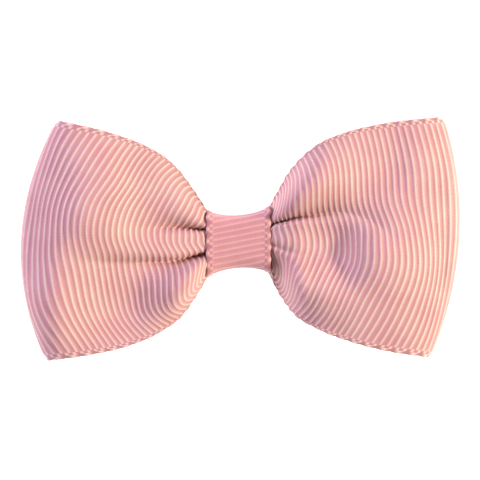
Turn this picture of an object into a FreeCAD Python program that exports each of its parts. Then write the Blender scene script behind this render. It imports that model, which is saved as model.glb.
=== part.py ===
import FreeCAD
import Part
import math
import os

# A hair bow: a pinched loop of grosgrain ribbon on a sprung clip. Sizes are in millimetres.
# The bow lies face up. +X runs along the bow, +Y up its face, and +Z out of its face.
# The origin is under the middle of the bow, on the flat underside of the clip's prong.

# The bow ribbon
BOW_SPAN = 68.2
BOW_HEIGHT = 38.0
CLOTH = 0.45
LOOP_FOLD_Z = 12.4
LOOP_CREST_Z = 17.2
LOOP_SECTIONS = 5
FOLD_R = 1.0
EDGE_FLATTEN = 0.3

# The gathered waist
WAIST_END = 5.2
WAIST_Y = -0.4
WAIST_HALF_Y = 4.5
WAIST_BACK_Z = 6.3
WAIST_FRONT_Z = 12.3
GROOVE_HALF_Y = 3.25
GROOVE_BACK_Z = 6.8
GROOVE_FRONT_Z = 11.5
WAIST_BACK_R = 1.2
WAIST_FRONT_R = 1.5

# The gathering thread and its knot
THREAD_D = 0.5
THREAD_TURNS = 5
THREAD_PITCH = 0.45
THREAD_SET = 0.1
KNOT_R = 0.5

# The centre wrap
WRAP_WIDTH = 10.0
WRAP_BACK_Z = 3.8
WRAP_SLACK = 0.05
WRAP_BACK_R = 0.4
WRAP_FRONT_R = 1.3
FLAP_END_Y = -2.4
FLAP_TURN_Y = WAIST_Y + GROOVE_HALF_Y - 1.0

# The glue
GLUE_GAP = 0.4
GLUE_ROUND = 0.15
WRAP_GLUE_INSET_X = 1.2
WRAP_GLUE_INSET_Y = 0.8
BOW_GLUE_HALF_X = 4.0
BOW_GLUE_HALF_Y = 2.6
BOW_GLUE_R = 1.2

# The clip
STEEL = 0.6
ARM_WIDTH = 7.0
ARM_LEVEL_Z = 4.4
CLIP_TIP_X = -21.0
CLIP_TAIL_X = 24.0
LINING = 0.4
LINING_END_X = 8.5
LINING_UNDER_X = -8.0
CLIP_CORNER_R = 1.2
PRONG_WIDTH = 5.6
FLANGE_TOP_Z = 1.0
TAB_NECK = 0.8
TOOTH_PITCH = 1.6
TOOTH_COUNT = 5
TOOTH_INSET = 0.3
TOOTH_FOOT_Z = 0.9
TOOTH_TOP_Z = 1.8
TOOTH_RISE = 0.22

# The hinge
PIN_X = 11.0
PIN_Z = 2.9
PIN_R = 0.75
PIN_HEAD_R = 1.15
PIN_HEAD = 0.4
EAR_R = 1.9
EAR_GAP = 0.1
RUNNING_FIT = 0.05

# The spring
WIRE_D = 0.6
COIL_R = 1.25
COIL_TURNS = 4
COIL_PITCH = 0.66
LEG_LENGTH = 8.0
LEG_UP_DEG = 17.0
LEG_DOWN_DEG = 5.0

FAR = 60.0
SAME_PLACE = 0.01


def vec(x, y, z):
    return FreeCAD.Vector(x, y, z)


def spline(points):
    """A smooth edge through the points."""
    curve = Part.BSplineCurve()
    curve.interpolate(points)
    return curve.toShape()


def arc(start, middle, end):
    return Part.Arc(start, middle, end).toShape()


def face_of(edges):
    return Part.Face(Part.Wire(Part.__sortEdges__(edges)))


def box(low, high):
    return Part.makeBox(high[0] - low[0], high[1] - low[1], high[2] - low[2], vec(*low))


def upright_edges(solid):
    return [e for e in solid.Edges if abs(e.tangentAt(e.FirstParameter).z) > 0.9]


def along_y(face, width):
    """A face in the XZ plane, made into a solid centred on Y = 0."""
    moved = face.copy()
    moved.translate(vec(0, -width / 2, 0))
    return moved.extrude(vec(0, width, 0))


def y_cylinder(radius, y_low, y_high):
    return Part.makeCylinder(radius, y_high - y_low, vec(PIN_X, y_low, PIN_Z), vec(0, 1, 0))


def offset_line(route, lift, y=0):
    """Points (x, z) moved by lift to the left of their direction of travel, at Y = y."""
    points = []
    for i, (x, z) in enumerate(route):
        before = route[max(i - 1, 0)]
        after = route[min(i + 1, len(route) - 1)]
        dx, dz = after[0] - before[0], after[1] - before[1]
        size = math.hypot(dx, dz)
        points.append(vec(x - lift * dz / size, y, z + lift * dx / size))
    return points


def rounded_rect(x, y_mid, half_y, z_low, z_high, radius):
    """A closed rounded rectangle across the bow at X = x."""
    y0, y1 = y_mid - half_y, y_mid + half_y
    k = radius * (1 - math.sqrt(0.5))
    corners = [
        ((y0 + radius, z_low), (y0 + k, z_low + k), (y0, z_low + radius)),
        ((y0, z_high - radius), (y0 + k, z_high - k), (y0 + radius, z_high)),
        ((y1 - radius, z_high), (y1 - k, z_high - k), (y1, z_high - radius)),
        ((y1, z_low + radius), (y1 - k, z_low + k), (y1 - radius, z_low)),
    ]
    edges = []
    for i, (a, b, c) in enumerate(corners):
        edges.append(arc(vec(x, *a), vec(x, *b), vec(x, *c)))
        following = corners[(i + 1) % 4][0]
        edges.append(Part.LineSegment(vec(x, *c), vec(x, *following)).toShape())
    return Part.Wire(edges)


def bowed_edge(half_x, at_end, at_middle, place):
    """An edge from -X to +X that stands at one height at its ends and another in the middle."""
    ends = [place(-half_x, at_end), place(half_x, at_end)]
    if abs(at_end - at_middle) < 1e-6:
        return Part.LineSegment(*ends).toShape()
    return arc(ends[0], place(0, at_middle), ends[1])


def nipped(half_x, y_ends, y_middle, z_low, z_high, low_radius, high_radius):
    """A block along X whose sides are drawn in towards X = 0. z_low and z_high are (end, middle)."""
    def plan(x, y):
        return vec(x, y, 0)

    def side(x, z):
        return vec(x, 0, z)

    def prism(low, high, place, direction):
        edges = [bowed_edge(half_x, *low, place), bowed_edge(half_x, *high, place)]
        for x in (-half_x, half_x):
            edges.append(Part.LineSegment(place(x, low[0]), place(x, high[0])).toShape())
        return face_of(edges).extrude(direction)

    seen_above = prism(
        (WAIST_Y - y_ends, WAIST_Y - y_middle), (WAIST_Y + y_ends, WAIST_Y + y_middle), plan, vec(0, 0, FAR)
    )
    seen_below = prism(z_low, z_high, side, vec(0, FAR, 0))
    seen_below.translate(vec(0, -FAR / 2, 0))
    block = seen_above.common(seen_below)
    long_edges = [e for e in block.Edges if e.BoundBox.XLength > half_x]
    middle_z = (z_low[0] + z_high[0]) / 2
    low_edges = [e for e in long_edges if e.CenterOfMass.z < middle_z]
    high_edges = [e for e in long_edges if e.CenterOfMass.z > middle_z]
    block = block.makeFillet(low_radius, low_edges)
    centres = [e.CenterOfMass for e in high_edges]
    high_edges = [e for e in block.Edges if any(e.CenterOfMass.isEqual(c, SAME_PLACE) for c in centres)]
    return block.makeFillet(high_radius, high_edges)


# ---- the two loops ----

def fold_x(y, top_corner, peak_y, bottom_corner):
    """How far out the bowed fold stands at height y, by a parabola through its three known points."""
    known = [top_corner, (BOW_SPAN / 2, peak_y), bottom_corner]
    total = 0.0
    for i, (x_i, y_i) in enumerate(known):
        weight = 1.0
        for j, (_, y_j) in enumerate(known):
            if j != i:
                weight *= (y - y_j) / (y_i - y_j)
        total += weight * x_i
    return total


def loop_section(y, fold, inset):
    """The loop's edge-on teardrop at height y. inset is 0 for the outside, CLOTH for the hollow."""
    puff = 1 - EDGE_FLATTEN * (2 * y / BOW_HEIGHT) ** 2
    reach = (fold - WAIST_END) / (BOW_SPAN / 2 - WAIST_END)

    def placed(route):
        return [
            (WAIST_END + (x - WAIST_END) * reach, LOOP_FOLD_Z + (z - LOOP_FOLD_Z) * puff)
            for x, z in route
        ]

    fold_start = BOW_SPAN / 2 - FOLD_R
    front = placed([
        (WAIST_END, WAIST_FRONT_Z), (9.5, 15.2), (17.0, LOOP_CREST_Z), (27.0, 15.8),
        (fold_start, LOOP_FOLD_Z + FOLD_R),
    ])
    back = placed([
        (WAIST_END, WAIST_BACK_Z), (12.0, 7.0), (18.0, 8.3), (25.0, 9.9),
        (fold_start, LOOP_FOLD_Z - FOLD_R),
    ])
    front = offset_line(front, -inset, y)
    back = offset_line(back, inset, y)
    tip = vec(fold - inset, y, LOOP_FOLD_Z)
    pinch = Part.LineSegment(back[0], front[0]).toShape()
    return Part.Wire([spline(front), arc(front[-1], tip, back[-1]), spline(back[::-1]), pinch])


def loop_outline(side, top, bottom):
    """A loop's two flared edges seen from the front, open past its fold."""
    x = WAIST_END * side
    far = FAR * side
    upper = [vec(x, WAIST_Y + WAIST_HALF_Y, 0)] + [vec(side * a, b, 0) for a, b in top]
    lower = [vec(x, WAIST_Y - WAIST_HALF_Y, 0)] + [vec(side * a, b, 0) for a, b in bottom]
    corners = [upper[-1], vec(far, upper[-1].y, 0), vec(far, lower[-1].y, 0), lower[-1]]
    straight = [Part.LineSegment(a, b).toShape() for a, b in zip(corners, corners[1:])]
    pinch = Part.LineSegment(upper[0], lower[0]).toShape()
    return face_of([spline(upper), spline(lower), pinch] + straight).extrude(vec(0, 0, FAR))


def ribbon_loop(side, top, peak_y, bottom):
    """One loop: a hollow, domed teardrop, one cloth thick, trimmed to its flared edges."""
    skins = []
    for inset in (0, CLOTH):
        sections = []
        for i in range(LOOP_SECTIONS):
            y = BOW_HEIGHT * (i / (LOOP_SECTIONS - 1) - 0.5)
            sections.append(loop_section(y, fold_x(y, top[-1], peak_y, bottom[-1]), inset))
        skins.append(Part.makeLoft(sections, True))
    loop = skins[0].cut(skins[1])
    if side < 0:
        loop = loop.mirror(vec(0, 0, 0), vec(1, 0, 0))
    return loop.common(loop_outline(side, top, bottom)).Solids[0]


def left_loop():
    top = [(7.7, 8.6), (12.0, 12.9), (19.0, 16.1), (28.6, 18.4)]
    bottom = [(8.0, -10.4), (12.5, -14.2), (19.5, -17.0), (30.2, -BOW_HEIGHT / 2)]
    return ribbon_loop(-1, top, -1.0, bottom)


def right_loop():
    top = [(7.5, 9.8), (12.1, 14.5), (19.0, 17.2), (31.2, BOW_HEIGHT / 2)]
    bottom = [(7.2, -10.0), (12.1, -14.0), (19.5, -16.6), (29.2, -18.5)]
    return ribbon_loop(1, top, 3.0, bottom)


# ---- the waist, its thread and the wrap ----

def gather_thread():
    """Turns of thread side by side in the waist's groove, pulled into one band."""
    r = THREAD_D / 2
    corner = WAIST_FRONT_R + r
    half_y = GROOVE_HALF_Y + THREAD_SET + r
    low = GROOVE_BACK_Z - THREAD_SET - r
    high = GROOVE_FRONT_Z + THREAD_SET + r
    turns = []
    for i in range(THREAD_TURNS):
        x = (i - (THREAD_TURNS - 1) / 2) * THREAD_PITCH
        path = rounded_rect(x, WAIST_Y, half_y, low, high, corner)
        start = vec(x, WAIST_Y - half_y + corner, low)
        ring = Part.Wire(Part.makeCircle(r, start, vec(0, 1, 0)))
        turns.append(path.makePipeShell([ring], True, False))
    return turns[0].multiFuse(turns[1:]).removeSplitter()


def gathered_waist():
    """The pleated middle of the ribbon, nipped in where the thread holds it."""
    return nipped(
        WAIST_END, WAIST_HALF_Y, GROOVE_HALF_Y,
        (WAIST_BACK_Z, GROOVE_BACK_Z), (WAIST_FRONT_Z, GROOVE_FRONT_Z),
        WAIST_BACK_R, WAIST_FRONT_R,
    )


def thread_knot(thread):
    """The knot, half sunk in the thread behind the waist."""
    z = GROOVE_BACK_Z - THREAD_SET - THREAD_D - KNOT_R / 2
    return Part.makeSphere(KNOT_R, vec(0, WAIST_Y, z)).cut(thread)


def wrap_skin(grow):
    """The space inside the wrap, or with grow = CLOTH the wrap's outside."""
    outside = THREAD_SET + THREAD_D + WRAP_SLACK + grow
    low = WRAP_BACK_Z + CLOTH - grow
    return nipped(
        WRAP_WIDTH / 2, WAIST_HALF_Y + WRAP_SLACK + grow, GROOVE_HALF_Y + outside,
        (low, low), (WAIST_FRONT_Z + WRAP_SLACK + grow, GROOVE_FRONT_Z + outside),
        WRAP_BACK_R + grow, WRAP_FRONT_R + grow,
    )


def centre_wrap():
    """A narrow ribbon round the waist and the clip's arm, its end lapped over at the back."""
    ring = wrap_skin(CLOTH).cut(wrap_skin(0))
    x = WRAP_WIDTH / 2
    flap_z = WRAP_BACK_Z - GLUE_GAP - CLOTH
    flap = box((-x, FLAP_END_Y, flap_z), (x, FLAP_TURN_Y + CLOTH, flap_z + CLOTH))
    turn = box((-x, FLAP_TURN_Y, flap_z), (x, FLAP_TURN_Y + CLOTH, WRAP_BACK_Z + CLOTH / 2))
    return ring.fuse(flap).fuse(turn).removeSplitter()


def wrap_glue():
    """The glue under the wrap's flap."""
    x = WRAP_WIDTH / 2 - WRAP_GLUE_INSET_X
    y = FLAP_END_Y + WRAP_GLUE_INSET_Y
    pad = box((-x, y, WRAP_BACK_Z - GLUE_GAP), (x, FLAP_TURN_Y, WRAP_BACK_Z))
    return pad.makeFillet(GLUE_ROUND, pad.Edges)


def bow_glue(*neighbours):
    """The glue between the clip's lining and the back of the waist, with the knot set in it."""
    low = ARM_LEVEL_Z + STEEL + LINING
    x, half_y = BOW_GLUE_HALF_X, BOW_GLUE_HALF_Y
    pad = box((-x, WAIST_Y - half_y, low - LINING / 2), (x, WAIST_Y + half_y, GROOVE_BACK_Z))
    pad = pad.makeFillet(BOW_GLUE_R, upright_edges(pad))
    for neighbour in neighbours:
        pad = pad.cut(neighbour)
    return pad


# ---- the clip ----

def arm_curve(lift):
    """The arched line of the top arm's underside, moved out by lift along its normal."""
    route = [
        (CLIP_TIP_X, 2.3), (-18.5, 3.1), (-14.0, 4.0), (-9.0, ARM_LEVEL_Z), (-2.0, ARM_LEVEL_Z),
        (5.0, ARM_LEVEL_Z), (9.0, 4.75), (14.0, 5.75), (CLIP_TAIL_X, 8.5),
    ]
    return offset_line(route, lift)


def arm_line(lift, x_end=CLIP_TAIL_X):
    """The arm's line at that lift as one smooth edge, from the tip as far as X = x_end."""
    curve = Part.BSplineCurve()
    curve.interpolate(arm_curve(lift))
    low, high = curve.FirstParameter, curve.LastParameter
    if x_end >= CLIP_TAIL_X:
        return curve.toShape()
    first = low
    for _ in range(40):
        middle = (low + high) / 2
        if curve.value(middle).x < x_end:
            low = middle
        else:
            high = middle
    return curve.toShape(first, low)


def tip_of(edge):
    return edge.valueAt(edge.FirstParameter)


def end_of(edge):
    return edge.valueAt(edge.LastParameter)


def strip_face(low, high):
    """The edge-on face between two lines of the arm, low and high above its underside."""
    under = arm_line(low)
    over = arm_line(high)
    tip = Part.LineSegment(tip_of(under), tip_of(over)).toShape()
    tail = Part.LineSegment(end_of(under), end_of(over)).toShape()
    return face_of([under, over, tip, tail])


def end_rounded(solid, x_low, x_high):
    """A clip strip with the four corners of its plan rounded."""
    plan = box((x_low, -ARM_WIDTH / 2, -STEEL), (x_high, ARM_WIDTH / 2, FAR))
    return solid.common(plan.makeFillet(CLIP_CORNER_R, upright_edges(plan)))


def ear(y_low, y_high, z_low, z_high):
    """A round-ended ear about the pin, with its web reaching from z_low to z_high."""
    web = box((PIN_X - EAR_R, y_low, z_low), (PIN_X + EAR_R, y_high, z_high))
    return y_cylinder(EAR_R, y_low, y_high).fuse(web)


def both_sides(solid):
    return [solid, solid.mirror(vec(0, 0, 0), vec(0, 1, 0))]


def clip_top_arm():
    """A pressed steel strip, arched, with two ears and a raised finger tab."""
    strip = along_y(strip_face(0, STEEL), ARM_WIDTH)
    strip = end_rounded(strip, CLIP_TIP_X - STEEL / 2, CLIP_TAIL_X)
    inner = PRONG_WIDTH / 2 + EAR_GAP
    ears = both_sides(ear(inner, ARM_WIDTH / 2, PIN_Z, PIN_Z + 2 * EAR_R))
    over = along_y(strip_face(STEEL / 2, 3 * EAR_R), FAR)
    arm = strip.multiFuse([e.cut(over) for e in ears])
    return arm.cut(y_cylinder(PIN_R, -FAR, FAR)).removeSplitter()


def clip_lining():
    """A narrow ribbon on the arm, turned round its tip and back along its underside."""
    over = [arm_line(STEEL, LINING_END_X), arm_line(STEEL + LINING, LINING_END_X)]
    under = [arm_line(0, LINING_UNDER_X), arm_line(-LINING, LINING_UNDER_X)]
    inner_tip = [tip_of(over[0]), tip_of(under[0])]
    outward = (tip_of(over[0]) - end_of(over[0])).normalize()
    nose = (inner_tip[0] + inner_tip[1]) * 0.5 + outward * (LINING + STEEL / 4)
    edges = over + under + [
        Part.LineSegment(*inner_tip).toShape(),
        Part.LineSegment(end_of(over[0]), end_of(over[1])).toShape(),
        Part.LineSegment(end_of(under[0]), end_of(under[1])).toShape(),
        arc(tip_of(over[1]), nose, tip_of(under[1])),
    ]
    return along_y(face_of(edges), ARM_WIDTH)


def tooth_row():
    """The saw edge along one side of the prong's tip."""
    wall = PRONG_WIDTH / 2
    teeth = []
    for i in range(TOOTH_COUNT):
        x = CLIP_TIP_X + TOOTH_INSET + i * TOOTH_PITCH
        corners = [
            vec(x, wall - STEEL, TOOTH_FOOT_Z),
            vec(x, wall - STEEL, TOOTH_TOP_Z + TOOTH_RISE * i),
            vec(x + TOOTH_PITCH, wall - STEEL, TOOTH_FOOT_Z),
        ]
        face = Part.Face(Part.makePolygon(corners + corners[:1]))
        teeth.append(face.extrude(vec(0, STEEL, 0)))
    return teeth


def clip_prong():
    """A pressed channel, flat underneath, toothed at the tip, with two ears and a finger tab."""
    half = PRONG_WIDTH / 2
    floor = box((CLIP_TIP_X, -half, 0), (PIN_X + EAR_R, half, STEEL))
    tab_x = PIN_X + EAR_R + TAB_NECK
    tab = box((tab_x, -ARM_WIDTH / 2, 0), (CLIP_TAIL_X, ARM_WIDTH / 2, STEEL))
    neck = box((PIN_X + EAR_R, -half, 0), (tab_x, half, STEEL))
    floor = end_rounded(floor.fuse(neck).fuse(tab), CLIP_TIP_X, CLIP_TAIL_X)
    flange = box((CLIP_TIP_X + TOOTH_INSET, half - STEEL, 0), (PIN_X, half, FLANGE_TOP_Z))
    sides = both_sides(flange) + both_sides(ear(half - STEEL, half, 0, PIN_Z))
    for tooth in tooth_row():
        sides += both_sides(tooth)
    prong = floor.multiFuse(sides)
    return prong.cut(y_cylinder(PIN_R + RUNNING_FIT, -FAR, FAR)).removeSplitter()


def clip_pin():
    """A plain rivet through the four ears."""
    outer = ARM_WIDTH / 2
    shank = y_cylinder(PIN_R, -outer, outer)
    head = y_cylinder(PIN_HEAD_R, outer, outer + PIN_HEAD)
    rim = [e for e in head.Edges if e.Length > 6 and e.BoundBox.YMin > outer + PIN_HEAD / 2]
    head = head.makeFillet(PIN_HEAD * 0.6, rim)
    return shank.multiFuse(both_sides(head)).removeSplitter()


def leg_direction(angle_deg, side):
    """Away from the coil along a leg, in line with the last of its turns."""
    angle = math.radians(angle_deg)
    lead = COIL_PITCH / (2 * math.pi * COIL_R)
    return vec(math.cos(angle), side * lead, side * math.sin(angle)).normalize()


def clip_spring():
    """A torsion spring on the pin: its two legs push the finger tabs apart."""
    turned = COIL_TURNS * 360 + 180 - LEG_UP_DEG - LEG_DOWN_DEG
    height = COIL_PITCH * turned / 360
    helix = Part.makeHelix(COIL_PITCH, height, COIL_R)
    helix.rotate(vec(0, 0, 0), vec(1, 0, 0), 90)
    helix.rotate(vec(0, 0, 0), vec(0, 1, 0), -(90 + LEG_UP_DEG))
    helix.translate(vec(PIN_X, height / 2, PIN_Z))
    coil = helix.Edges[0]
    first, last = coil.Vertexes[0].Point, coil.Vertexes[-1].Point
    up = leg_direction(LEG_UP_DEG, 1)
    down = leg_direction(LEG_DOWN_DEG, -1)
    start = first + up * LEG_LENGTH
    upper = Part.LineSegment(start, first).toShape()
    lower = Part.LineSegment(last, last + down * LEG_LENGTH).toShape()
    ring = Part.Wire(Part.makeCircle(WIRE_D / 2, start, up))
    return Part.Wire([upper, coil, lower]).makePipeShell([ring], True, False)


def main():
    os.makedirs("parts", exist_ok=True)
    thread = gather_thread()
    waist = gathered_waist()
    knot = thread_knot(thread)
    clip = {
        "clip_lining": clip_lining(),
        "clip_top_arm": clip_top_arm(),
        "clip_prong": clip_prong(),
        "clip_pin": clip_pin(),
        "clip_spring": clip_spring(),
    }
    for shape in clip.values():
        shape.translate(vec(0, WAIST_Y, 0))
    nodes = {
        "left_loop": left_loop(),
        "right_loop": right_loop(),
        "gathered_waist": waist,
        "gather_thread": thread,
        "thread_knot": knot,
        "centre_wrap": centre_wrap(),
        "wrap_glue": wrap_glue(),
        "bow_glue": bow_glue(clip["clip_lining"], waist, thread, knot),
        **clip,
    }
    for name, shape in nodes.items():
        bounds = shape.optimalBoundingBox()
        print(
            f"{name:15s} solids {len(shape.Solids)} valid {shape.isValid()} {shape.Volume:8.2f} mm3"
            f"  x {bounds.XMin:.2f} {bounds.XMax:.2f}  y {bounds.YMin:.2f} {bounds.YMax:.2f}"
            f"  z {bounds.ZMin:.2f} {bounds.ZMax:.2f}"
        )
        shape.exportStep(f"parts/{name}.step")


main()
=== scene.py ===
# %% [markdown]
# # A ribbon hair bow on a sprung clip
# The real thing is a strip of grosgrain folded into two loops, pinched in pleats at the middle, tied
# with thread, glued to a small steel clip and finished with a narrow ribbon wrapped round the waist.
# The clip comes from the CAD frame and keeps its shape. Everything soft is built here, as woven
# ribbon with real ribs, and each soft piece stands in the place that the frame gives it.

# %% Load the frame
import math

import bpy
import numpy as np
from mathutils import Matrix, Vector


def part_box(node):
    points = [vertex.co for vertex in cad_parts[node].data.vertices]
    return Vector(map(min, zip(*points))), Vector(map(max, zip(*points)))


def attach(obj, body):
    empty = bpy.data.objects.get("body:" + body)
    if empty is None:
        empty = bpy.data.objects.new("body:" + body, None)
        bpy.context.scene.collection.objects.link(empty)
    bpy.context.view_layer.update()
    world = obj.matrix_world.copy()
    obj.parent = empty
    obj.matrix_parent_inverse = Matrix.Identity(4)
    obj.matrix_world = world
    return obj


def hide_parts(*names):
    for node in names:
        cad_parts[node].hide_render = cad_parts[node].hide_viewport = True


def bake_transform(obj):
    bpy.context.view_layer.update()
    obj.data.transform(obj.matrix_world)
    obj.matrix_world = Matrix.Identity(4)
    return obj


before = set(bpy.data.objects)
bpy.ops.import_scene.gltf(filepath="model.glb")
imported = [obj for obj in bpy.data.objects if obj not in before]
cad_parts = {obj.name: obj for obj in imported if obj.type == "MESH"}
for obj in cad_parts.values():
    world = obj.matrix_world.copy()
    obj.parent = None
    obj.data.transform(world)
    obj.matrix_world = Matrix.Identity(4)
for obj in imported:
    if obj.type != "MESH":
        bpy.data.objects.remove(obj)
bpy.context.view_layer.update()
MM = 0.001

# %% Put a mesh, a lamp or a camera on the table
def put(name, data):
    """A new object with this data, in the scene."""
    thing = bpy.data.objects.new(name, data)
    bpy.context.scene.collection.objects.link(thing)
    return thing


def shaded_smooth(mesh):
    """The same mesh, shaded as one curved surface."""
    mesh.polygons.foreach_set("use_smooth", np.ones(len(mesh.polygons), bool))
    return mesh


# %% [markdown]
# ## Tools for smooth shapes
# A maker thinks in a few pinned points with cloth running smoothly between them. One function draws
# a smooth line through such points, and another stretches a smooth sheet over a small net of
# heights. Both are plain arithmetic on arrays, so every later step can ask for a thousand places at
# once.

# %% Smooth lines and sheets through pinned points
def between(knots, values, slopes, at):
    """The cubic through the two pinned values beside each place. The knots run along the first axis."""
    knots = np.asarray(knots, float)
    left = np.clip(np.searchsorted(knots, at) - 1, 0, len(knots) - 2)
    gap = knots[left + 1] - knots[left]
    t = np.clip((at - knots[left]) / gap, 0.0, 1.0)
    if values.ndim > 1:
        def pick(table, row):
            return np.take_along_axis(table, row[None], 0)[0]
    else:
        def pick(table, row):
            return table[row]
    leaving = (1 + 2 * t) * (1 - t) ** 2 * pick(values, left)
    leaving += t * (1 - t) ** 2 * gap * pick(slopes, left)
    arriving = t * t * (3 - 2 * t) * pick(values, left + 1)
    arriving += t * t * (t - 1) * gap * pick(slopes, left + 1)
    return leaving + arriving


def smooth(points, at):
    """A smooth line through (place, value) points, read at any place."""
    knots, values = np.array(points, float).T
    return between(knots, values, np.gradient(values, knots), np.asarray(at, float))


def smooth_sheet(across, along, net, row_at, column_at):
    """A smooth sheet over a net of heights: one row of the net for each place across."""
    rows = np.array([smooth(list(zip(along, row)), column_at) for row in net])
    return between(across, rows, np.gradient(rows, across, axis=0), row_at)


def ease(low, high, value):
    """0 below low, 1 above high, and an easy curve between."""
    t = np.clip((value - low) / (high - low), 0.0, 1.0)
    return t * t * (3 - 2 * t)


print("a line through 0, 1, 0 reads", smooth([(0, 0), (1, 1), (2, 0)], [0.5, 1.0]))

# %% [markdown]
# ## What grosgrain is
# Grosgrain is woven with thick cross threads under fine lengthwise ones, so it has round ribs about
# a millimetre apart that run from edge to edge. Its two edges are narrow woven selvedges with a
# row of tiny loops where the cross threads turn back, two ribs to a loop, and inside them a row of
# ties, one to a groove. A bump map could fake the ribs, but they show in the outline and catch the
# light one by one, so they are real geometry here. One function turns any grid of points on a
# ribbon's middle surface into such a cloth.

# %% Where a ribbon's points lie across it
SELVEDGE_POINTS = np.array([0.0, 0.2, 0.42, 0.68, 0.95, 1.25]) * MM
BESIDE_SELVEDGE = 0.3 * MM


def columns_across(width, fine, coarse, fine_half):
    """Places across a ribbon: close together at the selvedges and within fine_half of the middle."""
    inner = width / 2 - SELVEDGE_POINTS[-1] - BESIDE_SELVEDGE
    outer_count = max(int(round((inner - fine_half) / coarse)), 1)
    fine_count = max(int(round(fine_half / fine)), 1)
    half = np.concatenate([
        np.linspace(0, fine_half, fine_count, endpoint=False),
        np.linspace(fine_half, inner, outer_count + 1),
        (width / 2 - SELVEDGE_POINTS)[::-1],
    ])
    return np.concatenate([-half[:0:-1], half])


print("points across 38 mm:", len(columns_across(38 * MM, 0.36 * MM, 0.66 * MM, 5 * MM)))

# %% Ribs, loops and ties
RIBS_START, RIBS_FULL = 0.8075 * MM, 1.235 * MM
OUTER_ROW, OUTER_REACH = 0.25, 0.2
INNER_ROW, INNER_REACH = 0.72, 0.16
BEAD_HEIGHT = 0.22 * MM
TIE_SHARE = 0.7
SCALLOP = 0.07 * MM
RIM = 0.5 * MM
RIM_THINS = 0.45


def rib_wave(turns):
    """The height of a rib, from about -0.7 in the wide groove to 1.4 on its narrow crest."""
    angle = 2 * np.pi * turns
    return np.cos(angle) + 0.4 * np.cos(2 * angle)


def edge_row(from_edge, place, reach):
    """1 on a row that runs this many millimetres inside the edge, fading out on both sides."""
    return np.exp(-((from_edge / MM - place) / reach) ** 2)


def relief(turns, across, from_edge, rib_height):
    """How far the ribs, the loops and the ties stand out of the cloth."""
    body = ease(RIBS_START, RIBS_FULL, from_edge)
    loops = 0.5 + 0.5 * np.cos(np.pi * turns) * np.sign(across)[None, :]
    ties = 0.5 - 0.5 * np.cos(2 * np.pi * turns)
    beads = edge_row(from_edge, OUTER_ROW, OUTER_REACH) * loops
    beads = beads + TIE_SHARE * edge_row(from_edge, INNER_ROW, INNER_REACH) * ties
    return rib_height * body * rib_wave(turns) + BEAD_HEIGHT * beads


heights = rib_wave(np.linspace(0, 1, 101))
print("a rib runs from", round(heights.min(), 2), "to", round(heights.max(), 2), "of its height")

# %% Turn a grid of points into ribbed cloth
def unit(vectors):
    return vectors / np.maximum(np.linalg.norm(vectors, axis=-1, keepdims=True), 1e-12)


def closed_faces(rows, columns):
    """The faces of a cloth with a top, an underside and a rim that joins them all the way round."""
    index = np.arange(rows * columns).reshape(rows, columns)
    quads = np.stack([index[:-1, :-1], index[1:, :-1], index[1:, 1:], index[:-1, 1:]], -1).reshape(-1, 4)
    edge = np.concatenate([index[0, :], index[1:, -1], index[-1, -2::-1], index[-2:0:-1, 0]])
    after = np.roll(edge, -1)
    count = rows * columns
    rim_quads = np.stack([edge, after, after + count, edge + count], -1)
    return np.concatenate([quads, quads[:, ::-1] + count, rim_quads])


def map_weave(mesh, turns, across):
    """Writes the weave's own map: ribs counted along the strip and millimetres across it."""
    place = np.stack([turns, np.broadcast_to(across[None, :] / MM, turns.shape)], -1).reshape(-1, 2)
    place = np.concatenate([place, place])
    weave = mesh.uv_layers.new(name="weave")
    corner = np.empty(len(mesh.loops), np.int32)
    mesh.loops.foreach_get("vertex_index", corner)
    weave.data.foreach_set("uv", place[corner].astype(np.float32).ravel())


def woven(name, middle, rib_turns, across, width, cloth, rib_height, skew=0.0):
    """A closed cloth with ribs. middle is rows x columns x 3, rib_turns counts ribs for each row."""
    along_way = unit(np.gradient(middle, axis=0))
    cross_way = unit(np.gradient(middle, axis=1))
    facing = unit(np.cross(along_way, cross_way))
    turns = rib_turns[:, None] + skew * across[None, :]
    from_edge = width / 2 - np.abs(across)[None, :]
    rim = 1 - ease(0.0, RIM, from_edge)
    middle = middle + cross_way * (SCALLOP * rim * np.cos(np.pi * turns))[..., None]
    thick = cloth / 2 * (1 - RIM_THINS * rim) + relief(turns, across, from_edge, rib_height)
    top = middle + facing * thick[..., None]
    under = middle - facing * thick[..., None]
    rows, columns = middle.shape[:2]
    faces = closed_faces(rows, columns)
    mesh = bpy.data.meshes.new(name)
    mesh.from_pydata(np.concatenate([top, under]).reshape(-1, 3).tolist(), [], faces.tolist())
    map_weave(mesh, turns, across)
    shaded_smooth(mesh).update()
    print(f"{name}: {rows} rows, {columns} columns, {len(faces) * 2} triangles")
    return put(name, mesh)


# %% [markdown]
# ## The bow's outline
# Seen from the front, each loop flares quickly out of the pinch and then runs almost straight to its
# outer fold, where it has the ribbon's full width. The fold itself bows outwards in the middle,
# because every lengthwise thread has the same length and the middle ones run straightest. The two
# loops are folded by hand, so their outlines differ a little. A flat pattern could be cut and bent,
# but two lines and a fold say directly what a maker sees. The top and bottom lines give the height
# at each share of the way from pinch to fold, and the fold gives how far out it is from its lower
# corner, -1, to its upper one, 1. Lengths are millimetres, outwards from the middle of the bow.

# %% The two loops seen from the front
RIB_STANDS_OUT = 0.15
fold_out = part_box("right_loop")[1].x / MM - RIB_STANDS_OUT

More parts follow.
